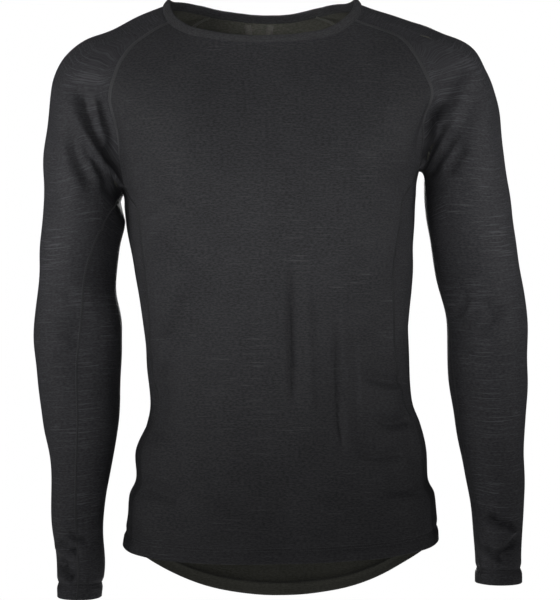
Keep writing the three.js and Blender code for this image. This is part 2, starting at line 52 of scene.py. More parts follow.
TAPE_WIDTH = 8.6
TAPE_WALL = 1.2
TAPE_SLOPE = 0.12  # forward lean of the loop, for each millimetre down
TAPE_EDGE = 0.35  # how far in the tape reaches its full thickness
TAPE_STITCH_ASIDE = 3.0
LOOP_CENTRE_X = -4
LOOP_TOP_Z = -7
LOOP_LEG_LENGTH = 44
LOOP_TOP_HALF = 14.7
LOOP_BEND_RADIUS = 8

# How finely the cloth is divided
FINE = 6  # rows of the body, and columns of the sleeves along their seams
PANEL_COLUMNS = 128
PANEL_SPREAD = 78  # degrees; closer columns towards the seams
SIDE_COLUMNS = 6 * FINE
NECK_COLUMNS = 4 * FINE
ARM_FINE = 7

# Sections of the body from the hem to the neck.
BODY_COLUMNS = "rows centre half front back frontZ sideZ backZ backCurve tilt backTilt seamLeft seamRight seamBack"
BODY = [
    (2, 24.5, 197, 104, 126, -677, -659, -745, 1.9, 4, -3, 0.38, 0.34, 0.8),
    (2, 26, 195, 106, 125, -646, -630, -703, 1.9, 3, -2, 0.37, 0.33, 0.78),
    (2, 26, 192, 106, 122, -612, -602, -652, 1.7, 1, -1, 0.36, 0.32, 0.74),
    (2, 26, 182, 104, 116, -586, -582, -606, 1.4, 0, 0, 0.36, 0.32, 0.7),
    (2, 24, 180.5, 102, 108, -547, -547, -556, 1.2, 0, 0, 0.36, 0.33, 0.66),
    (2, 26, 172, 100, 100, -514, -513, -515, 1, 0, 0, 0.36, 0.36, 0.63),
    (2, 23.5, 163.5, 99, 96, -485, -485, -485, 1, 0, 0, 0.38, 0.44, 0.61),
    (2, 20, 163, 100, 95, -440, -440, -440, 1, 0, 0, 0.4, 0.52, 0.6),
    (2, 18, 166, 104, 98, -390, -390, -390, 1, 0, 0, 0.45, 0.58, 0.58),
    (2, 15, 172.5, 113, 104, -330, -330, -330, 1, 0, 0, 0.5, 0.6, 0.55),
    (2, 12.8, 178.5, 121, 111, -270, -274, -270, 1, 3, 0, 0.52, 0.56, 0.51),
    (2, 12, 181, 124, 113, -240, -240, -240, 1, 7, 0, 0.5, 0.51, 0.49),
    (2, 12.5, 185, 125, 115, -217, -208, -217, 1, 11, 0, 0.28, 0.28, 0.48),
    (2, 14, 213, 122, 118, -179, -121, -172, 1, 10, 0, 0.52, 0.52, 0.565),
    (2, 13, 228, 116, 115, -143, -65, -130, 1, 5, 0, 0.58, 0.58, 0.658),
    (2, 11, 219, 108, 107, -112, -26, -92, 1, 2, 0, 0.6, 0.6, 0.733),
    (1, 9, 204, 103, 102, -96, -7.5, -72, 1.1, 3, 0, 0.58, 0.58, 0.757),
    (1, 7, 184, 98, 96, -82, 2, -52, 1.4, 3.5, -1, 0.54, 0.54, 0.793),
    (2, 4, 152, 92, 87, -66, 7, -28, 3, 2, -2, 0.49, 0.49, 0.83),
    (0, 1, 123, 85, 76, -48, 7, -4, 8, 1, -2.5, 0.43, 0.43, 0.88),
]
UNDERARM = 12  # section at which the side panels end and the raglan seams begin

# Sections of each sleeve from the shoulder to the cuff.
ARM_COLUMNS = "rows outerX outerZ innerX innerZ behind depth"
LEFT_ARM = [
    (3, -221.5, -35.5, -179, -238, 0, 65),
    (2, -257, -81, -176, -252, 1, 64),
    (2, -268, -150, -173, -266, 2, 61),
    (2, -273, -232, -178, -296, 2, 58),
    (2, -279, -325, -181, -344, 2, 54),
    (2, -285, -390, -173, -392, 0, 53),
    (2, -281, -450, -175, -450, -6, 51),
    (2, -273, -510, -178, -510, -13, 47),
    (2, -264, -570, -189, -570, -21, 41),
    (2, -258, -630, -194, -630, -28, 36),
    (2, -253, -688, -192, -688, -34, 33),
    (0, -250, -725, -195, -725, -38, 32),
]
RIGHT_ARM = [
    (3, 246, -32, 203, -205, 0, 65),
    (2, 282, -76, 204, -218, 1, 64),
    (2, 301, -145, 205, -240, 2, 61),
    (2, 312, -230, 207, -275, 2, 58),
    (2, 321, -318, 216, -324, 2, 54),
    (2, 330, -378, 229, -376, 0, 53),
    (2, 330, -445, 233, -445, -6, 51),
    (2, 328, -510, 241, -510, -13, 47),
    (2, 326, -570, 252, -570, -21, 41),
    (2, 324, -625, 261, -625, -28, 36),
    (2, 320, -676, 264, -676, -34, 33),
    (0, 320, -707, 265, -707, -38, 32),
]
SEAM_ROWS = 3
SEAM_FOLLOW = 0.35
UNDERARM_FOLLOW = 0.9
FRONT_NECK_ANGLE = 38
FRONT_UNDERARM_ANGLE = 124

# Large folds: face (-1 is the front), x, z, lean in degrees, length, width, depth.
FOLDS = [
    (-1, -196, -160, -28, 62, 13, -8.1),
    (-1, -211, -158, -30, 62, 12, 4.7),
    (-1, -222, -172, -22, 56, 12, -5.4),
    (-1, 222, -128, 26, 58, 13, -8.1),
    (-1, 236, -128, 30, 60, 12, 4.7),
    (-1, 248, -142, 22, 54, 12, -5.4),
    (1, -200, -165, -24, 60, 13, -8.1),
    (1, -220, -160, -30, 55, 12, 4.7),
    (1, 226, -138, 24, 60, 13, -8.1),
    (1, 246, -132, 30, 55, 12, 4.7),
    (-1, 12, -214, 90, 140, 34, 6.5),
    (-1, -104, -440, 24, 90, 15, -4.7),
    (-1, -122, -520, -52, 44, 14, -3),
    (-1, 38, -410, 1, 62, 16, -4.1),
    (-1, 90, -480, 3, 66, 18, -4.3),
    (-1, 64, -470, 2, 60, 14, 2.7),
    (-1, 158, -512, 74, 36, 11, -3.2),
    (-1, 150, -588, 80, 38, 12, -2.6),
    (-1, -120, -600, -78, 40, 12, -2.8),
    (1, -20, -430, 82, 90, 16, -6.8),
    (1, 60, -482, 97, 84, 16, -6.8),
    (1, -70, -500, 70, 60, 15, -5.4),
    (1, 110, -405, 118, 66, 14, -5.4),
    (-1, -235, -400, 66, 34, 12, -3),
    (-1, -232, -436, 104, 32, 12, -2.4),
    (-1, 278, -372, -42, 36, 11, -4.2),
    (-1, 284, -412, -62, 34, 12, -3.4),
    (-1, -236, -676, 60, 22, 9, -4.7),
    (-1, -216, -650, 112, 22, 9, -3.4),
    (-1, 292, -628, 112, 26, 9, -4.7),
    (-1, 296, -668, 52, 24, 9, -4.1),
    (1, -226, -384, 82, 36, 12, -5.4),
    (1, -228, -424, 96, 34, 12, -5.4),
    (1, 276, -378, 98, 36, 12, -5.4),
    (1, 280, -420, 84, 34, 12, -5.4),
]
FOLD_END = 3  # exponent of the ends of the folds
FACING_START = 0.1  # how much the cloth faces that way where a fold begins, and where it is full
FOLD_FACING = 0.6
CREASE_FACING = 0.5

# Fine creases: width, depth, side of the low ridge beside it, and the points it runs through as seen
# from the front.
FRONT_CREASES = [
    (6.5, -5, 1, [(-201, -100), (-193, -124), (-184, -156), (-178, -190)]),
    (7, -6, -1, [(-229, -106), (-216, -137), (-195, -174), (-180, -200)]),
    (6.5, -5.5, -1, [(-224, -156), (-209, -182), (-194, -206), (-182, -236)]),
    (5.5, -3.5, 1, [(-206, -178), (-194, -198), (-181, -216)]),
    (6, -3.8, 1, [(-221, -102), (-212, -122), (-202, -146)]),
    (7, -3.8, 1, [(-240, -150), (-226, -190), (-206, -226)]),
    (6, -4.5, -1, [(219, -112), (208, -140), (199, -162), (193, -188)]),
    (6, -5.5, 1, [(233, -134), (218, -160), (203, -186), (197, -200)]),
    (6, -5, 1, [(242, -146), (228, -173), (213, -196), (206, -212)]),
    (6.5, -4.8, 1, [(252, -168), (240, -188), (226, -208)]),
    (6, -3.8, -1, [(228, -116), (218, -128), (210, -146)]),
    (5.5, -1.2, 1, [(-172, -146), (-160, -140), (-148, -134)]),
    (5.5, -1.2, 1, [(-173, -206), (-158, -200), (-143, -197)]),
    (10, -3.4, 1, [(-148, -272), (-126, -258), (-102, -238)]),
    (9, -3.6, -1, [(-146, -520), (-122, -455), (-104, -395), (-82, -330)]),
    (6.5, -2.7, 1, [(-150, -474), (-130, -430), (-112, -390)]),
    (4.6, -4.2, 1, [(38, -290), (36, -380), (40, -500)]),
    (4.6, -4.2, -1, [(90, -350), (92, -440), (98, -560)]),
    (4.6, -3.2, 1, [(64, -320), (66, -400), (70, -510)]),
    (4.6, -3.2, -1, [(110, -370), (112, -460), (118, -570)]),
    (6.5, -4.2, 1, [(116, -446), (140, -456), (162, -461), (184, -458)]),
    (6.5, -3.8, 1, [(132, -498), (158, -509), (186, -507)]),
    (6.5, -3.6, 1, [(108, -538), (142, -548), (184, -546)]),
    (7.5, -2.2, 1, [(152, -584), (170, -592), (190, -588)]),
    (6.5, -2.2, 1, [(170, -530), (186, -545), (192, -566)]),
    (5.5, -3.4, 1, [(256, -348), (248, -366), (238, -384)]),
    (5.5, -2.8, 1, [(268, -366), (256, -386), (244, -402)]),
    (6, -3.4, -1, [(304, -362), (284, -382), (258, -402)]),
    (5.5, -3.4, -1, [(240, -416), (256, -428), (274, -432)]),
    (5, -6, 1, [(-254, -650), (-238, -662), (-220, -666)]),
    (5, -6.5, 1, [(-252, -676), (-238, -692), (-224, -700)]),
    (5, -4.5, -1, [(-240, -638), (-224, -650), (-208, -654)]),
    (5, -6, 1, [(271, -618), (292, -632), (316, -638)]),
    (5, -6, -1, [(284, -674), (300, -664), (318, -645)]),
    (5, -4.5, 1, [(270, -654), (284, -668), (298, -680)]),
    (6.5, -2.4, 1, [(-270, -386), (-246, -398), (-222, -406)]),
    (6, -2.2, -1, [(-262, -432), (-240, -426), (-218, -414)]),
    (7, -2, 1, [(-270, -326), (-250, -344), (-228, -354)]),
    (8, -2.3, 1, [(-74, -604), (-20, -612), (44, -611)]),
    (7, -2.3, -1, [(58, -592), (96, -602), (136, -603)]),
    (7.5, -2.2, 1, [(-148, -580), (-124, -592), (-94, -603)]),
]
BACK_CREASES = [
    (9, -4.6, 1, [(-114, -416), (-20, -440), (74, -446)]),
    (9, -4.6, -1, [(-64, -466), (30, -486), (124, -492)]),
    (8, -3.4, 1, [(-124, -502), (-60, -514), (4, -520)]),
    (8, -3.4, -1, [(56, -376), (104, -400), (144, -432)]),
    (9, -3, 1, [(-64, -136), (-46, -230), (-28, -334)]),
    (9, -3, -1, [(74, -136), (58, -230), (44, -334)]),
    (6.5, -4, 1, [(-214, -112), (-196, -160), (-180, -214)]),
    (6.5, -3.5, -1, [(-238, -130), (-216, -176), (-190, -222)]),
    (6.5, -4, -1, [(236, -112), (216, -156), (200, -194)]),
    (6.5, -3.5, 1, [(256, -124), (236, -166), (210, -204)]),
    (6, -4.2, 1, [(-256, -368), (-230, -384), (-204, -382)]),
    (6, -4.2, -1, [(-256, -414), (-230, -404), (-204, -406)]),
    (6, -4.2, 1, [(250, -368), (276, -384), (306, -382)]),
    (6, -4.2, -1, [(250, -414), (276, -404), (306, -408)]),
    (10, -3, 1, [(-64, -636), (4, -650), (76, -648)]),
]

CREASE_ENDS = (0.3, 0.8)  # shares of its length between which a crease is full
# The ridge beside a crease: its distance and width in widths of the crease, and its share of the depth.
RIDGE_ASIDE = 1.7
RIDGE_WIDTH = 0.9
RIDGE_HEIGHT = 0.4

# Slow waves of the cloth: number, shortest and longest wave, and height for each millimetre of wave.
WAVES = 18
WAVE_SHORT = 38
WAVE_LONG = 130
WAVE_SLOPE = 0.0052
SEED = 11

HEM_GROOVE = 1.8  # how far the cloth is drawn in along the stitch line, and over what distance
HEM_GROOVE_WIDTH = 3.4
HEM_SWELL = 0.5  # how far it stands out below the stitch line
HEM_ROW_ASIDE = 1.6  # each row of stitches from the stitch line

THREAD = 0.21  # radius of a sewing thread
THREAD_SIDES = 4
STITCH = 2.4  # length of a stitch
STITCH_PARTS = 6
STITCH_DIP = 0.25
ZIGZAG_CROWN = 0.12
ZIGZAG_SHARE = 0.82  # of the half width of a seam, as for the rows along its edges
ROW_SHARE = 0.86
ROW_HEIGHT = 0.55  # of the height of a seam
SEAM_HALF = 2.8  # half width of a flat seam
SEAM_STEP = 2.5
SHARP_SEAM = 80  # degrees between faces from which an edge of the seams stays sharp
SIDE_SEAM = (1.5, 0.4)  # half width and height of the finer seams
SLEEVE_SEAM = (1.4, 0.35)
INNER_SEAM_HEIGHT = 0.7
INNER_ZIGZAG = (SEAM_HALF * 0.8, 0.72)  # half width and height of the zigzag inside the raglan seams and the hems
HEM_ZIGZAG = (1.9, 0.25)


def closed_path(path):
    return np.concatenate([path, path[:1]])


def running(path):
    """Running length along a path."""
    return np.concatenate([[0], np.cumsum(np.linalg.norm(np.diff(path, axis=0), axis=1))])


def table(text, rows):
    return dict(zip(text.split(), np.array(rows, float).T))


def smooth(edge0, edge1, value):
    share = np.clip((value - edge0) / (edge1 - edge0), 0, 1)
    return share * share * (3 - 2 * share)


def through(a, b, c, d, share):
    bend = (3 * (b - c) + d - a) * share + 2 * a - 5 * b + 4 * c - d
    return b + 0.5 * share * (c - a + share * bend)


def sections(columns, places):
    """The columns of a table at places between its rows."""
    last = len(columns["rows"]) - 1
    low = np.minimum(np.floor(places).astype(int), last - 1)
    share = places - low
    four = [np.clip(low + step, 0, last) for step in (-1, 0, 1, 2)]
    return {name: through(*[column[index] for index in four], share) for name, column in columns.items()}


def places_of(columns, first, last, fine):
    places = []
    for index in range(first, last):
        steps = int(columns["rows"][index]) * fine
        places += [index + step / steps for step in range(steps)]
    return np.array(places + [last], float)


def belly(share):
    return np.power(np.maximum(0, 1 - np.power(np.abs(share), ROUNDNESS)), 1 / ROUNDNESS)


def body_points(section, face, across, depth):
    """Points of body sections. face holds -1 for the front and 1 for the back."""
    s = {name: column[:, None] for name, column in section.items()}
    reach = np.where(face < 0, s["front"], s["back"])
    middle = np.where(face < 0, s["frontZ"], s["backZ"])
    curve = np.where(face < 0, 1.0, s["backCurve"])
    x = s["centre"] + s["half"] * across
    tilt = s["tilt"] + np.where(face < 0, 0.0, s["backTilt"] * depth)
    z = s["sideZ"] + (middle - s["sideZ"]) * np.power(depth, curve) + tilt * across
    return np.stack([x, face * reach * depth, z], -1)


def panel_rows(section, face):
    seam_left = section["seamLeft"] if face < 0 else section["seamBack"]
    seam_right = section["seamRight"] if face < 0 else section["seamBack"]
    spread = math.radians(PANEL_SPREAD)
    turn = (np.sin(np.linspace(-spread, spread, PANEL_COLUMNS + 1)) / math.sin(spread))[None, :]
    across = np.where(turn < 0, turn * belly(seam_left)[:, None], turn * belly(seam_right)[:, None])
    depth = belly(across)
    depth[:, 0] = seam_left
    depth[:, -1] = seam_right
    return body_points(section, np.full(depth.shape, face), across, depth)


def side_rows(section, side, columns):
    start = -(section["seamLeft"] if side < 0 else section["seamRight"])
    share = np.linspace(0, 1, columns + 1)[None, :]
    depth = start[:, None] + (section["seamBack"] - start)[:, None] * share
    face = np.where(depth < 0, -1, 1)
    return body_points(section, face, side * belly(depth), np.abs(depth))


body = table(BODY_COLUMNS, BODY)
arms = {-1: table(ARM_COLUMNS, LEFT_ARM), 1: table(ARM_COLUMNS, RIGHT_ARM)}
TOP = len(BODY) - 1
low_places = places_of(body, 0, UNDERARM, FINE)
high_places = places_of(body, UNDERARM, TOP, FINE)
all_places = np.concatenate([low_places, high_places[1:]])


def unit(vectors):
    return vectors / np.maximum(np.linalg.norm(vectors, axis=-1, keepdims=True), 1e-9)


def armhole(side, panels):
    """The closed edge that a sleeve is sewn to: points, directions that run into it, follow and angle."""
    edge = 0 if side < 0 else -1
    inner = 1 if side < 0 else -2
    neck = sections(body, np.array([float(TOP)]))
    under = sections(body, np.array([float(UNDERARM)]))
    start = len(low_places) - 1
    front, back = (panels[face][start:] for face in (-1, 1))
    outward = np.array([side, 0.0, 0.0])
    neck_edge = side_rows(neck, side, NECK_COLUMNS)[0]
    under_edge = side_rows(under, side, SIDE_COLUMNS)[0][::-1]
    high, low = FRONT_NECK_ANGLE, FRONT_UNDERARM_ANGLE
    stretches = [
        (front[:, edge], front[:, edge] - front[:, inner], SEAM_FOLLOW, low, high),
        (neck_edge, outward, 0.0, high, -high),
        (back[::-1, edge], (back[:, edge] - back[:, inner])[::-1], SEAM_FOLLOW, -high, -low),
        (under_edge, outward, UNDERARM_FOLLOW, -low, low - 360),
    ]
    points, runs, follows, angles = [], [], [], []
    for edge_points, run, follow, angle_from, angle_to in stretches:
        n = len(edge_points)
        points.append(edge_points[:-1])
        runs.append(unit(np.broadcast_to(run, edge_points.shape))[:-1])
        follows.append(np.full(n - 1, follow))
        angles.append(np.linspace(angle_from, angle_to, n)[:-1])
    return np.concatenate(points), np.concatenate(runs), np.concatenate(follows), np.concatenate(angles)


def sleeve_rows(side, panels):
    arm = arms[side]
    points, runs, follows, angles = armhole(side, panels)
    turn = np.radians(angles)[None, :]
    outward = np.cos(turn)
    middle = lambda a, b: ((arm[a] + arm[b]) / 2)[:, None]
    half = lambda a, b: ((arm[a] - arm[b]) / 2)[:, None]
    x = middle("outerX", "innerX") + outward * half("outerX", "innerX")
    z = middle("outerZ", "innerZ") + outward * half("outerZ", "innerZ")
    y = arm["behind"][:, None] - arm["depth"][:, None] * np.sin(turn)
    stops = np.stack([x, y, z], -1)
    natural = stops[0] - points
    length = np.linalg.norm(natural, axis=-1, keepdims=True)
    lead = natural + (runs * length - natural) * follows[:, None]
    before = stops[0] - 2 * lead
    after = 2 * stops[-1] - stops[-2]
    line = np.concatenate([before[None], points[None], stops, after[None]])
    steps = SEAM_ROWS * ARM_FINE
    places = np.concatenate([np.arange(steps) / steps, places_of(arm, 0, len(stops) - 1, ARM_FINE) + 1])
    low = np.minimum(np.floor(places).astype(int), len(stops) - 1)
    share = (places - low)[:, None, None]
    return through(line[low], line[low + 1], line[low + 2], line[low + 3], share), angles


def grid_normals(grid, closed, turn):
    if closed:
        across = np.roll(grid, -1, 1) - np.roll(grid, 1, 1)
    else:
        across = np.gradient(grid, axis=1)
    up = np.gradient(grid, axis=0)
    return unit(np.cross(across, up) * turn)


def share_normals(pieces):
    """Pieces that meet at a seam share their direction there."""
    for p in pieces:
        p["normals"] = grid_normals(p["grid"], p["closed"], p["turn"])
    points = np.concatenate([p["grid"].reshape(-1, 3) for p in pieces])
    normals = np.concatenate([p["normals"].reshape(-1, 3) for p in pieces])
    _, index = np.unique(np.round(points * 100).astype(np.int64), axis=0, return_inverse=True)
    index = index.reshape(-1)
    sums = np.zeros((index.max() + 1, 3))
    np.add.at(sums, index, normals)
    normals = unit(sums[index])
    start = 0
    for p in pieces:
        count = p["grid"].shape[0] * p["grid"].shape[1]
        p["normals"] = normals[start : start + count].reshape(p["grid"].shape)
        start += count


def crease_height(x, z, width, depth, side, line):
    """A narrow trough along a line of points, with a lower ridge along one side, fading out at its ends."""
    line = np.array(line, float)
    starts, steps = line[:-1], np.diff(line, axis=0)
    lengths = np.linalg.norm(steps, axis=1)
    run = np.concatenate([[0], np.cumsum(lengths)])
    nearest = np.full(x.shape, 1e9)
    aside = np.zeros(x.shape)
    along = np.zeros(x.shape)
    for k in range(len(starts)):
        dx, dz = x - starts[k, 0], z - starts[k, 1]
        tx, tz = steps[k] / lengths[k]
        share = np.clip((dx * tx + dz * tz) / lengths[k], 0, 1)
        off = np.hypot(dx - share * steps[k, 0], dz - share * steps[k, 1])
        closer = off < nearest
        nearest = np.where(closer, off, nearest)
        aside = np.where(closer, np.sign(dx * tz - dz * tx) * off, aside)
        along = np.where(closer, (run[k] + share * lengths[k]) / run[-1], along)
    fade = smooth(0, CREASE_ENDS[0], along) * smooth(1, CREASE_ENDS[1], along)
    trough = np.exp(-np.square(aside / width))
    ridge = np.exp(-np.square((aside - side * RIDGE_ASIDE * width) / (RIDGE_WIDTH * width)))
    return depth * fade * (trough - RIDGE_HEIGHT * ridge)


def fold_heights(points, normals):
    """How far the folds, creases and slow waves move each point along its normal."""
    total = np.zeros(points.shape[:-1])
    for face, x, z, lean, length, width, depth in FOLDS:
        facing = smooth(FACING_START, FOLD_FACING, normals[..., 1] * face)
        aside = points[..., 0] - x
        above = points[..., 2] - z
        turn = math.radians(lean)
        along = aside * math.sin(turn) + above * math.cos(turn)
        across = aside * math.cos(turn) - above * math.sin(turn)
        end = np.exp(-np.power(np.abs(along) / length, FOLD_END))
        total += depth * facing * end * np.exp(-np.square(across / width))
    for face, creases in ((-1, FRONT_CREASES), (1, BACK_CREASES)):
        facing = smooth(FACING_START, CREASE_FACING, normals[..., 1] * face)
        for crease in creases:
            total += facing * crease_height(points[..., 0], points[..., 2], *crease)
    random = np.random.default_rng(SEED)
    for _ in range(WAVES):
        wave = random.uniform(WAVE_SHORT, WAVE_LONG)
        direction = unit(random.normal(size=3))
        phase = random.uniform(0, 2 * math.pi)
        total += wave * WAVE_SLOPE * np.sin(points @ direction * (2 * math.pi / wave) + phase)
    return total


panels = {face: panel_rows(sections(body, all_places), face) for face in (-1, 1)}
sides = {side: side_rows(sections(body, low_places), side, SIDE_COLUMNS) for side in (-1, 1)}
sleeves = {side: sleeve_rows(side, panels) for side in (-1, 1)}
shapes = [
    ("front_panel", panels[-1], 1),
    ("back_panel", panels[1], -1),
    ("left_side_panel", sides[-1], -1),
    ("right_side_panel", sides[1], 1),
    ("left_sleeve", sleeves[-1][0], 1),
    ("right_sleeve", sleeves[1][0], -1),
]
pieces = [
    {"name": name, "grid": grid, "closed": name.endswith("sleeve"), "turn": turn} for name, grid, turn in shapes
]
by_name = {p["name"]: p for p in pieces}
share_normals(pieces)


def lengths_along(grid, axis):
    """Running length along rows (axis 1) or columns (axis 0)."""
    step = np.linalg.norm(np.diff(grid, axis=axis), axis=-1)
    start = np.zeros_like(step[:1] if axis == 0 else step[:, :1])
    return np.concatenate([start, np.cumsum(step, axis=axis)], axis=axis)


for p in pieces:
    heights = fold_heights(p["grid"], p["normals"])
    p["grid"] = p["grid"] + p["normals"] * heights[..., None]
share_normals(pieces)

# The turned-in hem and cuffs: the cloth is thicker there, and drawn in along the stitch line.
for p in pieces:
    run = lengths_along(p["grid"], 0)
    from_edge = run[-1] - run if p["closed"] else run
    line = CUFF_DEPTH if p["closed"] else HEM_DEPTH
    p["from_edge"] = from_edge
    groove = -HEM_GROOVE * np.exp(-np.square((from_edge - line) / HEM_GROOVE_WIDTH))
    moved = groove + HEM_SWELL * smooth(line, line * 0.5, from_edge)
    p["grid"] = p["grid"] + p["normals"] * moved[..., None]
    p["thick"] = CLOTH + HEM_EXTRA * smooth(line + 2, line - 2, from_edge)


def material_named(name):
    material = bpy.data.materials.new(name)
    material.use_nodes = True
    return material


def add_mesh(name, points, faces, uvs=None, materials=(), face_materials=None, sharp=50):
    mesh = bpy.data.meshes.new(name)
    mesh.from_pydata((np.asarray(points) * MM).tolist(), [], [list(face) for face in faces])
    if uvs is not None:
        layer = mesh.uv_layers.new(name="Cloth")
        layer.data.foreach_set("uv", np.asarray(uvs, np.float32).ravel())
    for material in materials:
        mesh.materials.append(material)
    if face_materials is not None:
        mesh.polygons.foreach_set("material_index", np.asarray(face_materials, np.int32))
    mesh.polygons.foreach_set("use_smooth", np.ones(len(mesh.polygons), bool))
    mesh.set_sharp_from_angle(angle=math.radians(sharp))
    mesh.update()
    obj = bpy.data.objects.new(name, mesh)
    bpy.context.scene.collection.objects.link(obj)
    return obj


def cloth_uv(p):
    """Flat coordinates of each point in metres, across and along the cloth. The courses run level."""
    grid = p["grid"]
    if p["closed"]:
        wrapped = np.concatenate([grid, grid[:, :1]], 1)
        u = lengths_along(wrapped, 1)
        v = lengths_along(grid, 0)
        waves = np.fft.rfft(v[-1] - v, axis=1)
        waves[:, 2:] = 0
        v = np.fft.irfft(waves, grid.shape[1], axis=1)
        v = np.concatenate([v, v[:, :1]], 1)
    else:
        u = lengths_along(grid, 1)
        u = u - u[:, u.shape[1] // 2][:, None]
        v = grid[..., 2]
    return np.stack([u, v], -1) * MM


def add_cloth(p, materials):
    """A thin closed shell between a grid and its inside, with a rounded edge at the free borders."""
    grid, normals, closed, turn = p["grid"], p["normals"], p["closed"], p["turn"]
    rows, columns = grid.shape[:2]
    uv = cloth_uv(p)
    uv_columns = uv.shape[1]
    inner = grid - normals * p["thick"][..., None]
    points = [grid.reshape(-1, 3), inner.reshape(-1, 3)]
    total = rows * columns
    rounded = {}
    for row, beside in ((0, 1), (rows - 1, rows - 2)):
        out = unit(grid[row] - grid[beside])
        free = (row == 0) != closed
        bulge = 0.5 * p["thick"][row][:, None] if free else 0.0
        rounded[row] = 2 * total + len(rounded) * columns
        points.append((grid[row] + inner[row]) / 2 + out * bulge)
    points = np.concatenate(points)
    steps = columns if closed else columns - 1
    i, j = np.meshgrid(np.arange(rows - 1), np.arange(steps), indexing="ij")
    i, j = i.ravel(), j.ravel()
    nxt = (j + 1) % columns
    here, there = i * columns + j, i * columns + nxt
    outer = np.stack([here, there, there + columns, here + columns], 1)
    corner = i * uv_columns + j
    outer_uv = np.stack([corner, corner + 1, corner + uv_columns + 1, corner + uv_columns], 1)
    inside = np.stack([here, here + columns, there + columns, there], 1) + total
    inside_uv = outer_uv[:, [0, 3, 2, 1]]
    faces, uvs = [outer, inside], [outer_uv, inside_uv]
    marks = [np.zeros(len(outer), int), np.ones(len(inside), int)]

    def add_edge(quads, quads_uv, flip):
        faces.append(quads[:, ::-1] if flip else quads)
        uvs.append(quads_uv[:, ::-1] if flip else quads_uv)
        marks.append(np.zeros(len(quads), int))

    jj = np.arange(steps)
    nj = (jj + 1) % columns
    for row, flip in ((0, False), (rows - 1, True)):
        base = row * columns
        ring = rounded[row]
        start = row * uv_columns + jj
        strip_uv = np.stack([start, start, start + 1, start + 1], 1)
        add_edge(np.stack([base + jj, ring + jj, ring + nj, base + nj], 1), strip_uv, flip)
        add_edge(np.stack([ring + jj, total + base + jj, total + base + nj, ring + nj], 1), strip_uv, flip)
    if not closed:
        ii = np.arange(rows - 1)
        for column, flip in ((0, False), (columns - 1, True)):
            a = ii * columns + column
            low, high = ii * uv_columns + column, (ii + 1) * uv_columns + column
            quads = np.stack([a, a + columns, a + columns + total, a + total], 1)
            add_edge(quads, np.stack([low, high, high, low], 1), flip)
    faces, uvs = np.concatenate(faces), np.concatenate(uvs)
    if turn < 0:
        faces, uvs = faces[:, ::-1], uvs[:, ::-1]
    return add_mesh(p["name"] + "_cloth", points, faces, uv.reshape(-1, 2)[uvs], materials, np.concatenate(marks))


def resample(path, normals, step):
    """A path with its directions at even steps along it."""
    run = running(path)
    count = max(2, int(round(run[-1] / step)) + 1)
    at = np.linspace(0, run[-1], count)
    even = lambda values: np.stack([np.interp(at, run, values[:, k]) for k in range(3)], 1)
    return even(path), unit(even(normals))


def sweep(paths, sides, ups, profile, closed=False):
    """Points and faces of a section swept along paths of the shape (bodies, points, 3)."""
    bodies, count = paths.shape[:2]
    k = len(profile)
    profile = np.asarray(profile, float)
    rings = paths[:, :, None] + sides[:, :, None] * profile[:, 0, None] + ups[:, :, None] * profile[:, 1, None]
    points = rings.reshape(-1, 3)
    b, i, j = np.meshgrid(np.arange(bodies), np.arange(count if closed else count - 1), np.arange(k), indexing="ij")
    b, i, j = b.ravel(), i.ravel(), j.ravel()
    base, after = (b * count + i) * k, (b * count + (i + 1) % count) * k
    nxt = (j + 1) % k
    faces = np.stack([base + j, base + nxt, after + nxt, after + j], 1).tolist()
    if not closed:
        for body_index in range(bodies):
            first = body_index * count * k
            last = first + (count - 1) * k
            faces.append(list(range(first + k - 1, first - 1, -1)))
            faces.append(list(range(last, last + k)))
    return points, faces


def swept_uv(faces, profile, run):
    """Flat coordinates of one swept body, along and around it. Its end faces have none."""
    around = running(closed_path(profile))
    uvs = []
    for index, face in enumerate(faces):
        if len(face) == 4:
            i, j = divmod(index, len(profile))
            low, high = around[j], around[j + 1]
            uvs += [(run[i], low), (run[i], high), (run[i + 1], high), (run[i + 1], low)]
        else:
            uvs += [(0, 0)] * len(face)
    return np.array(uvs) * MM


class Collector:
    """Gathers swept bodies that become one mesh."""

    def __init__(self):
        self.points, self.faces, self.count = [], [], 0

    def add(self, points, faces):
        self.points.append(points)
        self.faces += [[index + self.count for index in face] for face in faces]
        self.count += len(points)

    def mesh(self, name, material):
        return add_mesh(name, np.concatenate(self.points), self.faces, None, [material], None, SHARP_SEAM)


def ring_profile(radius, sides):
    turn = np.linspace(0, 2 * math.pi, sides, endpoint=False)
    return np.stack([np.cos(turn) * radius, np.sin(turn) * radius], 1)


def frames(path, ups):
    """Directions to the side of a path, and the path's own up directions made square to it."""
    tangent = unit(np.gradient(path, axis=-2))
    side = unit(np.cross(tangent, ups))
    return side, unit(np.cross(side, tangent))


def needle_row(store, path, ups, aside, lift, length=STITCH):
    """Straight stitches one after the other, each dipping into the cloth at its ends."""
    even, even_ups = resample(path, ups, length / STITCH_PARTS)
    side, up = frames(even, even_ups)
    count = (len(even) - 1) // STITCH_PARTS
    index = (np.arange(count) * STITCH_PARTS)[:, None] + np.array([0, 1, 4, 5])[None]
    heights = np.array([-STITCH_DIP, lift, lift, -STITCH_DIP])[None, :, None]
    line = even[index] + side[index] * aside + up[index] * heights
    points, faces = sweep(line, side[index], up[index], ring_profile(THREAD, THREAD_SIDES))
    store.add(points, faces)


def zigzag(store, path, ups, half, lift):
    """One thread that crosses to and fro over a seam."""
    even, even_ups = resample(path, ups, STITCH / 4)
    side, up = frames(even, even_ups)
    pattern = np.array([-1.0, 0.0, 1.0, 0.0])[np.arange(len(even)) % 4]
    height = lift + ZIGZAG_CROWN * (1 - np.abs(pattern))
    line = even + side * (pattern * half)[:, None] + up * height[:, None]
    cross_side, cross_up = frames(line, up)
    points, faces = sweep(line[None], cross_side[None], cross_up[None], ring_profile(THREAD, THREAD_SIDES))
    store.add(points, faces)


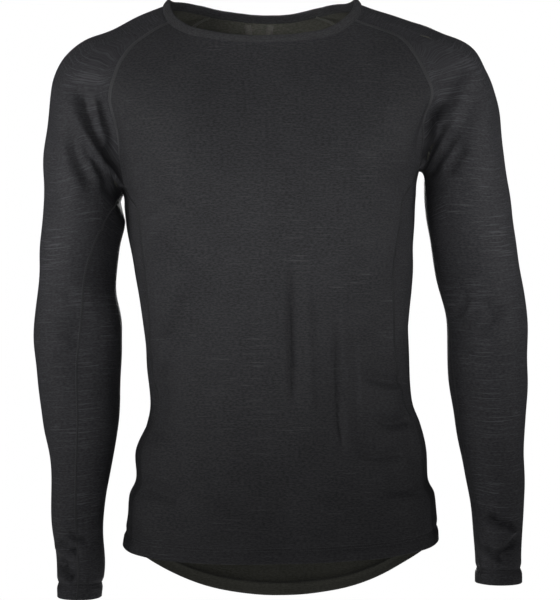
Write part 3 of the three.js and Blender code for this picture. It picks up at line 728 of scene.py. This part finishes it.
def seam_ridge(store, path, ups, half, height):
    """The overlapped cloth of a flat seam: a low rounded ridge."""
    even, even_ups = resample(path, ups, SEAM_STEP)
    side, up = frames(even, even_ups)
    share = np.linspace(-1, 1, 7)
    top = np.stack([share * half, height * (1 - np.power(np.abs(share), 3)) - 0.05], 1)
    bottom = np.array([[half * 0.9, -0.4], [-half * 0.9, -0.4]])
    points, faces = sweep(even[None], side[None], up[None], np.concatenate([top, bottom])[::-1])
    store.add(points, faces)


def flat_seam(ridges, threads, path, ups, half=SEAM_HALF, height=0.6):
    """A flatlock seam: its ridge, the thread that crosses it and a row of stitches along each edge."""
    seam_ridge(ridges, path, ups, half, height)
    zigzag(threads, path, ups, half * ZIGZAG_SHARE, height + 0.05)
    for aside in (-half * ROW_SHARE, half * ROW_SHARE):
        needle_row(threads, path, ups, aside, height * ROW_HEIGHT)


# Materials. Patterns of the yarn: how many across, along and through a metre of cloth.
STREAK_SCALE = (30, 620, 1)
PATCH_SCALE = (9, 13, 1)
SLUB_SCALE = (22, 500, 1)
MOTTLE_SCALE = (22, 22, 1)
MELANGE_SCALE = (240, 640, 1)
GRAIN_SCALE = (1300, 1700, 1)
STREAK_RANGE = (0.5, 0.8)
PATCH_RANGE = (0.42, 0.66)
MELANGE_RANGE = (0.36, 0.64)
SLUB_EDGE = 0.17
# Shares of the patterns in the tone of the cloth, and in its relief. The knit's share of the tone is painted shade
# between the loops.
STREAK_TONE, SLUB_TONE, MOTTLE_TONE, MELANGE_TONE, KNIT_PAINTED_SHADE, GRAIN_TONE = 0.34, 0.75, 0.24, 0.36, 0.12, 0.12
KNIT_RELIEF, STREAK_RELIEF, GRAIN_RELIEF = 0.5, 0.35, 0.3
CLOTH_BUMP = (0.5, 0.0003)  # strength, and height in metres
THREAD_BUMP = (0.4, 0.0001)
THREAD_GRAIN = 900


def link(tree, a, b):
    tree.links.new(a, b)


def tone_and_bump(tree, tone, dark, light, relief, bump_size):
    """The base colour runs from dark to light with the tone, and relief raises the surface."""
    shader = tree.nodes["Principled BSDF"]
    mix = tree.nodes.new("ShaderNodeMix")
    mix.data_type = "RGBA"
    mix.inputs[6].default_value = (*dark, 1)
    mix.inputs[7].default_value = (*light, 1)
    link(tree, tone, mix.inputs[0])
    link(tree, mix.outputs[2], shader.inputs["Base Color"])
    bump = tree.nodes.new("ShaderNodeBump")
    bump.inputs["Strength"].default_value, bump.inputs["Distance"].default_value = bump_size
    link(tree, relief, bump.inputs["Height"])
    link(tree, bump.outputs[0], shader.inputs["Normal"])


def fabric(name, dark, light, wale, course, streak, slub_from, roughness, specular):
    """Knitted cloth: streaks of uneven yarn along the courses, soft mottling and a bump of stitches."""
    material = material_named(name)
    tree = material.node_tree
    nodes = tree.nodes
    shader = nodes["Principled BSDF"]
    shader.inputs["Roughness"].default_value = roughness
    shader.inputs["Specular IOR Level"].default_value = specular
    uv = nodes.new("ShaderNodeUVMap")
    uv.uv_map = "Cloth"

    def math_node(operation, a, b=None):
        node = nodes.new("ShaderNodeMath")
        node.operation = operation
        for socket, value in zip(node.inputs, (a, b)):
            if value is None:
                continue
            if isinstance(value, (int, float)):
                socket.default_value = value
            else:
                link(tree, value, socket)
        return node.outputs[0]

    def times(a, b):
        return math_node("MULTIPLY", a, b)

    def plus(a, b):
        return math_node("ADD", a, b)

    def noise(size, detail=2.0, rough=0.5):
        sized = nodes.new("ShaderNodeVectorMath")
        sized.operation = "MULTIPLY"
        link(tree, uv.outputs[0], sized.inputs[0])
        sized.inputs[1].default_value = size
        node = nodes.new("ShaderNodeTexNoise")
        node.inputs["Scale"].default_value = 1.0
        node.inputs["Detail"].default_value = detail
        node.inputs["Roughness"].default_value = rough
        link(tree, sized.outputs[0], node.inputs["Vector"])
        return node.outputs[0]

    def ramp(value, limits):
        node = nodes.new("ShaderNodeMapRange")
        node.interpolation_type = "SMOOTHSTEP"
        node.inputs["From Min"].default_value, node.inputs["From Max"].default_value = limits
        link(tree, value, node.inputs["Value"])
        return node.outputs["Result"]

    # Uneven yarn: long faint streaks along the courses, and a few thick places that stand out.
    streaks = ramp(noise(STREAK_SCALE, 2.0, 0.6), STREAK_RANGE)
    patches = ramp(noise(PATCH_SCALE), PATCH_RANGE)
    slubs = times(ramp(noise(SLUB_SCALE, 1.0), (slub_from, slub_from + SLUB_EDGE)), patches)
    # Mixed light and dark fibres
    mottle = noise(MOTTLE_SCALE, 4.0, 0.6)
    melange = ramp(noise(MELANGE_SCALE, 2.0, 0.7), MELANGE_RANGE)
    grain = noise(GRAIN_SCALE, 1.0)
    # Plain knit: columns of loops. Their height also lightens the colour on the loops and darkens it between them,
    # as painted shade.
    split = nodes.new("ShaderNodeSeparateXYZ")
    link(tree, uv.outputs[0], split.inputs[0])
    across, along = split.outputs[0], split.outputs[1]
    t = math_node("FRACT", math_node("DIVIDE", across, wale))
    t = times(math_node("ABSOLUTE", math_node("SUBTRACT", t, 0.5)), 2.0)
    chevron = plus(math_node("DIVIDE", along, course), times(t, 0.5))
    loop = math_node("SINE", times(math_node("FRACT", chevron), math.pi))
    rib = math_node("SUBTRACT", 1.0, times(t, t))
    knit = times(plus(times(loop, 0.6), 0.4), rib)

    def blend(*parts):
        total = None
        for value, weight in parts:
            part = times(value, weight)
            total = part if total is None else plus(total, part)
        return total

    tone = blend(
        (streaks, STREAK_TONE * streak), (slubs, SLUB_TONE * streak), (mottle, MOTTLE_TONE),
        (melange, MELANGE_TONE), (knit, KNIT_PAINTED_SHADE), (grain, GRAIN_TONE),
    )
    relief = blend((knit, KNIT_RELIEF), (streaks, STREAK_RELIEF), (grain, GRAIN_RELIEF))
    tone_and_bump(tree, tone, dark, light, relief, CLOTH_BUMP)
    return material


def thread_material(name, dark, light):
    material = material_named(name)
    tree = material.node_tree
    shader = tree.nodes["Principled BSDF"]
    shader.inputs["Roughness"].default_value = 0.6
    shader.inputs["Specular IOR Level"].default_value = 0.3
    place = tree.nodes.new("ShaderNodeTexCoord")
    noise = tree.nodes.new("ShaderNodeTexNoise")
    noise.inputs["Scale"].default_value = THREAD_GRAIN
    link(tree, place.outputs["Object"], noise.inputs["Vector"])
    tone_and_bump(tree, noise.outputs[0], dark, light, noise.outputs[0], THREAD_BUMP)
    return material


JERSEY_KNIT = (0.00085, 0.00065)  # width and height of a stitch in metres
BINDING_KNIT = (0.0008, 0.0006)
TAPE_WEAVE = (0.0012, 0.0006)
# Each: dark and light colour, stitch, strength of the streaks, start of the slubs, roughness, specular.
outside = fabric(
    "jersey_outside", (0.008, 0.008, 0.0096), (0.067, 0.0668, 0.0716), *JERSEY_KNIT, 0.75, 0.60, 0.65, 0.2
)
# The sleeves are the same jersey as the body. Their lighter colours are painted light, for the light the sleeves
# catch from the sides and above, and their stronger streaks add painted sheen to the slubs of the yarn.
sleeve_outside_painted_light = fabric(
    "sleeve_jersey_painted_light", (0.0105, 0.0105, 0.0126), (0.079, 0.0787, 0.0858), *JERSEY_KNIT, 1.4, 0.56, 0.65, 0.2
)
# The inside is the paler, olive reverse side of the jersey, and it is made lighter still as painted fill light for
# the hollow of the garment, which the lamps hardly reach.
inside = fabric(
    "jersey_inside_with_painted_fill", (0.046, 0.046, 0.0385), (0.137, 0.137, 0.119), *JERSEY_KNIT, 0.6, 0.62, 0.9, 0.1
)
# The binding is the same jersey, given lighter colours as painted light for the light its upturned band catches
# from above.
binding = fabric(
    "binding_jersey_painted_light", (0.021, 0.021, 0.0228), (0.082, 0.0816, 0.0855), *BINDING_KNIT, 0.5, 0.62, 0.7, 0.2
)
tape = fabric("loop_tape", (0.072, 0.072, 0.064), (0.162, 0.162, 0.143), *TAPE_WEAVE, 0.3, 0.62, 0.8, 0.2)
thread = thread_material("sewing_thread", (0.04, 0.0405, 0.0425), (0.072, 0.073, 0.0765))
# The sleeve seams' thread and ridge are made lighter, as painted light that cancels the shade on the sides of the
# ridge.
sleeve_thread_painted_light = thread_material("seam_thread", (0.046, 0.0465, 0.0495), (0.08, 0.0805, 0.0855))
side_seam = thread_material("side_seam_cloth", (0.024, 0.0242, 0.026), (0.044, 0.0444, 0.0475))
sleeve_seam_painted_light = thread_material("seam_cloth_quiet", (0.038, 0.0383, 0.041), (0.064, 0.0645, 0.069))
# This seam colour is lighter than the jersey, as a painted highlight along the raised raglan ridges, which are the
# same cloth, and along the hem and cuff stitches.
seam_cloth_painted_highlight = thread_material("seam_cloth_painted_highlight", (0.052, 0.0525, 0.0555), (0.088, 0.0885, 0.093))
# The seam ridges inside are the same cloth as the inside, made lighter as a painted highlight along them.
inner_seam_painted_highlight = thread_material("seam_cloth_inside", (0.11, 0.11, 0.097), (0.17, 0.17, 0.15))

made = {}
for p in pieces:
    # The sleeves take the lighter jersey with painted light.
    made[p["name"]] = add_cloth(p, [sleeve_outside_painted_light if p["closed"] else outside, inside])


# Seams
start = len(low_places) - 1
extras = {p["name"]: [] for p in pieces}


def edge_of(name, column, rows):
    p = by_name[name]
    return p["grid"][rows, column], p["normals"][rows, column]


def inside_of(path, ups, depth):
    return path - ups * depth, -ups


def dressed(obj, node):
    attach(obj, "root")
    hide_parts(node)
    return obj


def finished(store, name, node, material):
    extras.setdefault(node, []).append(dressed(store.mesh(name, material), node))


for node in ("front_panel", "back_panel"):
    ridges, inner_ridges, threads = Collector(), Collector(), Collector()
    for column in (0, -1):
        path, ups = edge_of(node, column, slice(start, None))
        flat_seam(ridges, threads, path, ups)
        inner_path, inner_ups = inside_of(path, ups, CLOTH)
        seam_ridge(inner_ridges, inner_path, inner_ups, SEAM_HALF, INNER_SEAM_HEIGHT)
        zigzag(threads, inner_path, inner_ups, *INNER_ZIGZAG)
    # The outer raglan ridges take the lighter seam colour, a painted highlight.
    finished(ridges, node + "_raglan_ridges", node, seam_cloth_painted_highlight)
    # The inner ridges take the lighter inside seam colour, a painted highlight.
    finished(inner_ridges, node + "_inner_ridges", node, inner_seam_painted_highlight)
    finished(threads, node + "_raglan_stitches", node, thread)

for node in ("left_side_panel", "right_side_panel"):
    ridges, threads = Collector(), Collector()
    for column in (0, -1):
        path, ups = edge_of(node, column, slice(0, None))
        flat_seam(ridges, threads, path, ups, *SIDE_SEAM)
    under, under_ups = by_name[node]["grid"][-1], by_name[node]["normals"][-1]
    flat_seam(ridges, threads, under, under_ups, *SIDE_SEAM)
    finished(ridges, node + "_ridges", node, side_seam)
    finished(threads, node + "_stitches", node, side_seam)

# The sleeve seam starts under the arm and turns towards the front of the forearm on the left sleeve:
# share of the length and angle round the arm.
SEAM_TURN = {
    -1: [(0.0, 180), (0.25, 150), (0.45, 106), (0.6, 92), (1.0, 88)],
    1: [(0.0, 180), (0.4, 160), (1.0, 150)],
}
for side, node in ((-1, "left_sleeve"), (1, "right_sleeve")):
    ridges, threads = Collector(), Collector()
    p = by_name[node]
    angles = sleeves[side][1]
    rows, columns = p["grid"].shape[:2]
    share, turn = zip(*SEAM_TURN[side])
    wanted = np.interp(np.linspace(0, 1, rows), share, turn)
    order = np.argsort(angles)
    ring = np.concatenate([angles[order], [angles[order][0] + 360]])
    wanted = np.where(wanted > FRONT_UNDERARM_ANGLE, wanted - 360, wanted)
    column_of = np.interp(wanted, ring, np.arange(columns + 1))
    low = np.floor(column_of).astype(int)
    part = (column_of - low)[:, None]
    pick = lambda values, index: values[np.arange(rows), np.concatenate([order, order[:1]])[index]]
    path = pick(p["grid"], low) * (1 - part) + pick(p["grid"], np.minimum(low + 1, columns)) * part
    ups = unit(pick(p["normals"], low) * (1 - part) + pick(p["normals"], np.minimum(low + 1, columns)) * part)
    flat_seam(ridges, threads, path, ups, *SLEEVE_SEAM)
    # The sleeve seams take the colours lightened as painted light against the shade on the ridge's sides.
    finished(ridges, node + "_ridges", node, sleeve_seam_painted_light)
    finished(threads, node + "_stitches", node, sleeve_thread_painted_light)


def level(p, distance):
    """The line at a distance from the hem or cuff edge, with its directions."""
    from_edge, grid, normals = p["from_edge"], p["grid"], p["normals"]
    if p["closed"]:
        from_edge, grid, normals = from_edge[::-1], grid[::-1], normals[::-1]
    above = np.argmax(from_edge > distance, axis=0)
    j = np.arange(grid.shape[1])
    part = ((distance - from_edge[above - 1, j]) / (from_edge[above, j] - from_edge[above - 1, j]))[:, None]
    path = grid[above - 1, j] * (1 - part) + grid[above, j] * part
    ups = unit(normals[above - 1, j] * (1 - part) + normals[above, j] * part)
    if p["closed"]:
        path, ups = closed_path(path), closed_path(ups)
    return path, ups


# The hem and cuff stitches take the lighter seam colour, a painted highlight along the hem line.
for p in pieces:
    store = Collector()
    line = CUFF_DEPTH if p["closed"] else HEM_DEPTH
    for distance in (line - HEM_ROW_ASIDE, line + HEM_ROW_ASIDE):
        needle_row(store, *level(p, distance), 0.0, 0.1)
    path, ups = level(p, line)
    inner_path, inner_ups = inside_of(path, ups, CLOTH + HEM_EXTRA * 0.5)
    zigzag(store, inner_path, inner_ups, *HEM_ZIGZAG)
    finished(store, p["name"] + "_hem_stitches", p["name"], seam_cloth_painted_highlight)

# Neck binding
front, back = by_name["front_panel"], by_name["back_panel"]
right, left = by_name["right_sleeve"], by_name["left_sleeve"]
first = len(high_places) - 1
strip = lambda p: p["grid"][0, first : first + NECK_COLUMNS + 1]
front_edge, back_edge = front["grid"][-1], back["grid"][-1][::-1]
loop = closed_path(np.concatenate([front_edge[:-1], strip(right)[:-1], back_edge[:-1], strip(left)[::-1][:-1]]))
ring = resample(loop, loop, BAND_STEP)[0][:-1]
neck_x = body["centre"][-1]
inward = unit(np.stack([neck_x - ring[:, 0], NECK_MIDDLE_Y - ring[:, 1], np.zeros(len(ring))], 1))
lean = math.radians(BAND_LEAN)
rise = inward * math.sin(lean) + np.array([0, 0, math.cos(lean)])
tangent = unit(np.roll(ring, -1, 0) - np.roll(ring, 1, 0))
rise = unit(rise - tangent * np.sum(rise * tangent, 1, keepdims=True))
out = unit(np.cross(tangent, rise))
# Section of the folded strip: along and out from the neck edge.
BAND_OUTLINE = [
    (-0.6, 0.1), (0.1, 0.75), (1.2, 1.0), (3.2, 1.15), (5.8, 1.2), (8.4, 1.1), (10.2, 0.85), (11.2, 0.35),
    (11.6, -0.35), (11.3, -1.05), (10.3, -1.5), (8.2, -1.6), (5.0, -1.6), (2.0, -1.55), (0.2, -1.5), (-0.6, -1.2),
]
outline = np.array(BAND_OUTLINE)
slope = unit(np.gradient(outline, axis=0))
wall = outline + np.stack([slope[:, 1], -slope[:, 0]], 1) * FOLD_CLOTH
profile = np.concatenate([outline, wall[::-1]])[::-1]
points, faces = sweep(ring[None], rise[None], out[None], profile, closed=True)
run = np.arange(len(ring) + 1) * BAND_STEP
wave = 0.18 * np.sin(run[:-1] / 7.3) + 0.12 * np.sin(run[:-1] / 3.1 + 1.0)
points = points + np.repeat(out * wave[:, None], len(profile), 0)
band = add_mesh("neck_binding_band", points, faces, swept_uv(faces, profile, run), [binding], None, 60)
made["neck_binding"] = dressed(band, "neck_binding")
store = Collector()
loop_path, loop_rise, loop_out = closed_path(ring), closed_path(rise), closed_path(out)
needle_row(store, loop_path + loop_rise * 1.5, loop_out, 0.0, 1.05)
needle_row(store, loop_path + loop_rise * 3.6, loop_out, 0.0, 1.2)
needle_row(store, loop_path + loop_rise * 2.4 - loop_out * 1.55, -loop_out, 0.0, 0.15)
finished(store, "neck_binding_stitches", "neck_binding", thread)

# Hanging loop
bottom = LOOP_TOP_Z - LOOP_LEG_LENGTH
steps = np.linspace(0, 1, 25)[:-1]
leg_x = -(LOOP_TOP_HALF + (LOOP_BEND_RADIUS - LOOP_TOP_HALF) * steps)
leg = np.stack([leg_x, LOOP_TOP_Z + (bottom - LOOP_TOP_Z) * steps], 1)
turn = np.linspace(0, math.pi, 25)
bend = np.stack([-LOOP_BEND_RADIUS * np.cos(turn), bottom - LOOP_BEND_RADIUS * np.sin(turn)], 1)
line = np.concatenate([leg, bend, (leg * [-1, 1])[::-1]])
back_points = back["grid"].reshape(-1, 3)
near = np.argsort(np.hypot(back_points[:, 0] - LOOP_CENTRE_X, back_points[:, 2] - LOOP_TOP_Z))[:4]
sewn = back_points[near, 1].mean() - 1.5 - 0.9 - TAPE_WALL
middle_line = np.stack([LOOP_CENTRE_X + line[:, 0], sewn + TAPE_SLOPE * (LOOP_TOP_Z - line[:, 1]), line[:, 1]], 1)
forward = np.tile(unit(np.array([0, -1.0, -TAPE_SLOPE])), (len(line), 1))
side, up = frames(middle_line, forward)
half = TAPE_WIDTH / 2
flank = half - TAPE_EDGE
profile = np.array([
    (-half, 0.25), (-flank, 0.0), (flank, 0.0), (half, 0.25),
    (half, 0.85), (flank, 1.1), (0, 1.15), (-flank, 1.1), (-half, 0.85),
])
profile[:, 1] -= TAPE_WALL
points, faces = sweep(middle_line[None], side[None], up[None], profile)
uvs = swept_uv(faces, profile, lengths_along(middle_line[None], 1)[0])[:, ::-1]
tape_loop = add_mesh("hanging_loop_tape", points, faces, uvs, [tape], None, 50)
made["hanging_loop"] = dressed(tape_loop, "hanging_loop")
store = Collector()
for aside in (-TAPE_STITCH_ASIDE, TAPE_STITCH_ASIDE):
    needle_row(store, middle_line, up, aside, 0.05, 2.0)
finished(store, "hanging_loop_stitches", "hanging_loop", thread)

# Each piece of cloth hangs from the root, and its part from the file is hidden.
for p in pieces:
    dressed(made[p["name"]], p["name"])

# Stage: a pale round floor well below the hem, soft lights and a white surround. Metres from here on.
FLOOR_RADIUS = 1.15
FLOOR_PLACE = (0.02, 0.0, -0.95)
FLOOR_TONE = 0.86
FLOOR_GLOW = 0.12
SURROUND_GLOW = 0.035
bpy.ops.mesh.primitive_circle_add(vertices=96, radius=FLOOR_RADIUS, fill_type="NGON", location=FLOOR_PLACE)
floor = bpy.context.object
floor.name = "floor"
pale = material_named("pale_floor")
floor_shader = pale.node_tree.nodes["Principled BSDF"]
floor_shader.inputs["Base Color"].default_value = (FLOOR_TONE, FLOOR_TONE, FLOOR_TONE, 1)
floor_shader.inputs["Roughness"].default_value = 0.8
floor_shader.inputs["Emission Color"].default_value = (1, 1, 1, 1)
floor_shader.inputs["Emission Strength"].default_value = FLOOR_GLOW
floor.data.materials.append(pale)

world = bpy.data.worlds.new("surround")
bpy.context.scene.world = world
world.use_nodes = True
world_tree = world.node_tree
surround = world_tree.nodes["Background"]
backdrop = world_tree.nodes.new("ShaderNodeBackground")
for node, glow in ((surround, SURROUND_GLOW), (backdrop, 1.0)):
    node.inputs["Color"].default_value = (1, 1, 1, 1)
    node.inputs["Strength"].default_value = glow
rays = world_tree.nodes.new("ShaderNodeLightPath")
either = world_tree.nodes.new("ShaderNodeMixShader")
link(world_tree, rays.outputs["Is Camera Ray"], either.inputs[0])
link(world_tree, surround.outputs[0], either.inputs[1])
link(world_tree, backdrop.outputs[0], either.inputs[2])
link(world_tree, either.outputs[0], world_tree.nodes["World Output"].inputs["Surface"])


def area_light(name, place, aim, size, spread, power):
    data = bpy.data.lights.new(name, "AREA")
    data.shape = "SQUARE"
    data.size = size
    data.spread = math.radians(spread)
    data.energy = power
    obj = bpy.data.objects.new(name, data)
    bpy.context.scene.collection.objects.link(obj)
    obj.location = place
    direction = np.array(aim, float) - np.array(place, float)
    yaw = math.atan2(direction[0], direction[1])
    pitch = math.atan2(direction[2], math.hypot(direction[0], direction[1]))
    obj.rotation_euler = (math.pi / 2 + pitch, 0, -yaw)
    return obj


# Soft lights: name, place, aim, side of the square, spread in degrees, power.
LIGHTS = [
    ("left_key", (-1.5, -1.5, 0.1), (-0.24, 0, -0.25), 0.5, 75, 1.27),
    ("right_key", (1.5, -1.5, 0.1), (0.42, 0, -0.2), 0.4, 26, 0.16),
    ("left_side", (-2.2, -0.8, 0.0), (-0.26, 0, -0.2), 0.6, 40, 0.67),
    ("right_side", (2.2, -0.8, 0.0), (0.29, 0, -0.2), 0.6, 40, 0.58),
    ("left_sleeve_key", (-1.8, -1.1, -0.15), (-0.27, 0, -0.19), 0.4, 22, 0.15),
    ("right_sleeve_key", (1.8, -1.1, -0.15), (0.30, 0, -0.14), 0.4, 24, 0.17),
    ("chest_key", (0.02, -2.2, -0.36), (0.02, -0.1, -0.28), 0.2, 17, 0.088),
    ("low_key", (0.02, -1.2, -0.75), (0.02, -0.1, -0.24), 0.3, 40, 0.09),
    ("top_key", (0.02, -0.3, 1.5), (0.02, 0, -0.3), 1.0, 180, 3.7),
    ("neck_key", (0.02, -1.6, 0.35), (0.02, 0.06, 0.03), 0.15, 7, 0.031),
    ("back_key", (0.02, 3.0, 0.3), (0.02, 0, -0.3), 1.2, 60, 12),
]
for name, place, aim, size, spread, power in LIGHTS:
    area_light(name, place, aim, size, spread, power)

# The camera looks straight at the front, and takes in 0.75 m of height at the middle of the part.
SENSOR_HEIGHT = 36
CAMERA_DISTANCE = 2.7
VIEW_HEIGHT = 0.75
camera_data = bpy.data.cameras.new("camera")
camera_data.sensor_fit = "VERTICAL"
camera_data.sensor_height = SENSOR_HEIGHT
camera_data.lens = SENSOR_HEIGHT * CAMERA_DISTANCE / VIEW_HEIGHT
camera_data.clip_start = 0.05
camera_data.clip_end = 50
camera = bpy.data.objects.new("camera", camera_data)
bpy.context.scene.collection.objects.link(camera)
camera.location = (0.0231, -CAMERA_DISTANCE, -0.36)
camera.rotation_euler = (math.pi / 2, 0, 0)
bpy.context.scene.camera = camera
bpy.context.scene.view_settings.view_transform = "Standard"
